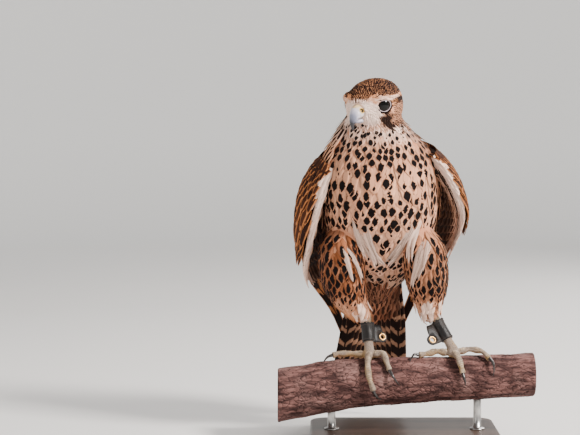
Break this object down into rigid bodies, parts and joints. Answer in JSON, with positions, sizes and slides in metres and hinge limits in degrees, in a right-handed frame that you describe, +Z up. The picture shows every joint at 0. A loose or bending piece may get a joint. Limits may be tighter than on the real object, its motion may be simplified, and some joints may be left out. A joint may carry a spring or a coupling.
{
  "type": "large spotted falcon museum model on a perch",
  "caption": "Life-size large falcon standing upright with its head turned and its wings a little drooped, gripping a short cut log on a plain flat stand.",
  "frame": {"origin": "middle of the underside of the stand's base", "axes": "+Z up, the bird's breast faces -Y, its left side is towards +X; the log lies along X"},
  "size_m": [0.322, 0.2556, 0.4552],
  "materials": {
    "plumage": "soft small feathers, cream with dark brown spots",
    "wing_feathers": "smooth vanes, dark brown with rufous and cream edges",
    "tail_feathers": "smooth vanes, dark brown with paler bars",
    "bill": "satin horn, blue grey with a dark tip",
    "cere": "waxy yellow skin",
    "eye": "wet gloss, near black brown",
    "foot_skin": "scaly matt skin, pale yellow grey",
    "claw": "satin black horn",
    "anklet_leather": "worn black leather",
    "grommet_brass": "dull polished brass",
    "bark": "dry cracked bark, reddish brown",
    "stand_wood": "dark stained wood, satin",
    "stand_steel": "brushed"
  },
  "bodies": {
    "root": {"head": "plumage", "cere": "cere", "bill_upper": "bill", "bill_lower": "bill", "eye_l": "eye", "eye_r": "eye", "neck": "plumage", "torso": "plumage", "wing_r": "wing_feathers", "wing_l": "wing_feathers", "tail": "tail_feathers", "thigh_r": "plumage", "shank_r": "foot_skin", "foot_r": "foot_skin", "toe_r_hallux": "foot_skin", "claw_r_hallux": "claw", "toe_r_inner": "foot_skin", "claw_r_inner": "claw", "toe_r_middle": "foot_skin", "claw_r_middle": "claw", "toe_r_outer": "foot_skin", "claw_r_outer": "claw", "anklet_r": "anklet_leather", "grommet_r": "grommet_brass", "thigh_l": "plumage", "shank_l": "foot_skin", "foot_l": "foot_skin", "toe_l_hallux": "foot_skin", "claw_l_hallux": "claw", "toe_l_inner": "foot_skin", "claw_l_inner": "claw", "toe_l_middle": "foot_skin", "claw_l_middle": "claw", "toe_l_outer": "foot_skin", "claw_l_outer": "claw", "anklet_l": "anklet_leather", "grommet_l": "grommet_brass", "perch": "bark", "stand_base": "stand_wood", "stand_rod_r": "stand_steel", "stand_rod_l": "stand_steel"}
  },
  "joints": []
}
